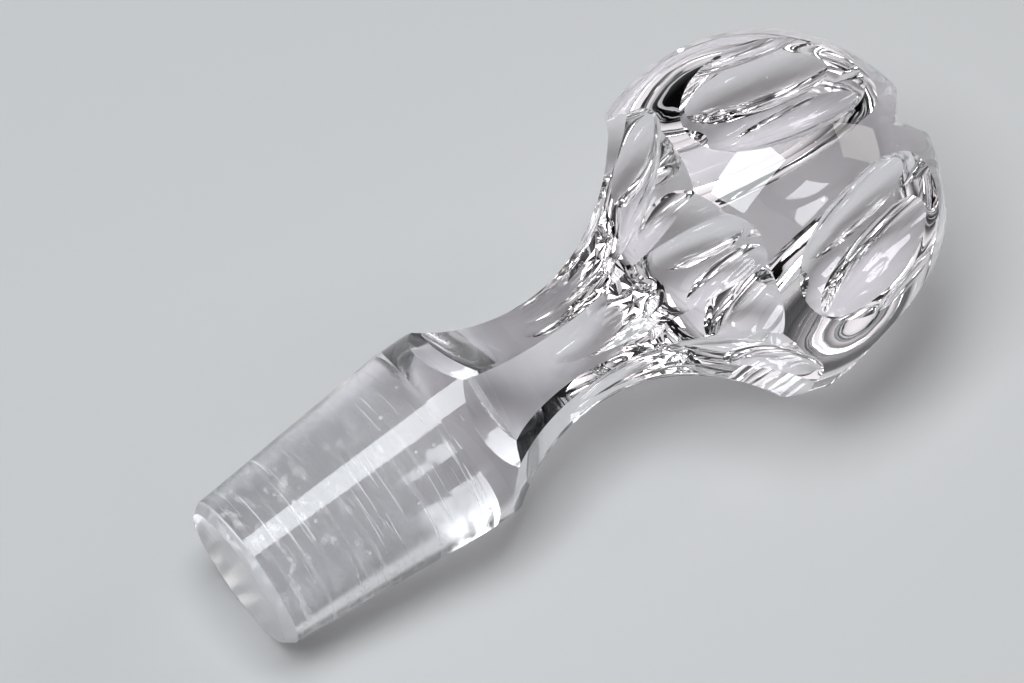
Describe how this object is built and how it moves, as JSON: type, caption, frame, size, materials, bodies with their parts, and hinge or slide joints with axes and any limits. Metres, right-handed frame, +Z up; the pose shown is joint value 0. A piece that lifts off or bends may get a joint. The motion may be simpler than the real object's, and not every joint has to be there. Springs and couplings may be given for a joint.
{
  "type": "cut glass stopper",
  "caption": "Solid clear cut-glass stopper: a ball knop with hollow ovals and a star on top, a waisted panelled neck, and a ground taper plug that closes a decanter or bottle.",
  "frame": {"origin": "on the table, under the middle of the box that the lying stopper fills", "axes": "+Z up; +X along the lying stopper, from the plug to the ball; +Y across it"},
  "size_m": [0.0987, 0.044, 0.043],
  "materials": {
    "polished_glass": "clear lead glass, wheel cut and polished",
    "ground_glass": "clear lead glass, ground to a fine haze with grinding marks round the taper"
  },
  "bodies": {
    "root": {"cut_knop": "polished_glass", "ground_plug": "ground_glass"}
  },
  "joints": []
}
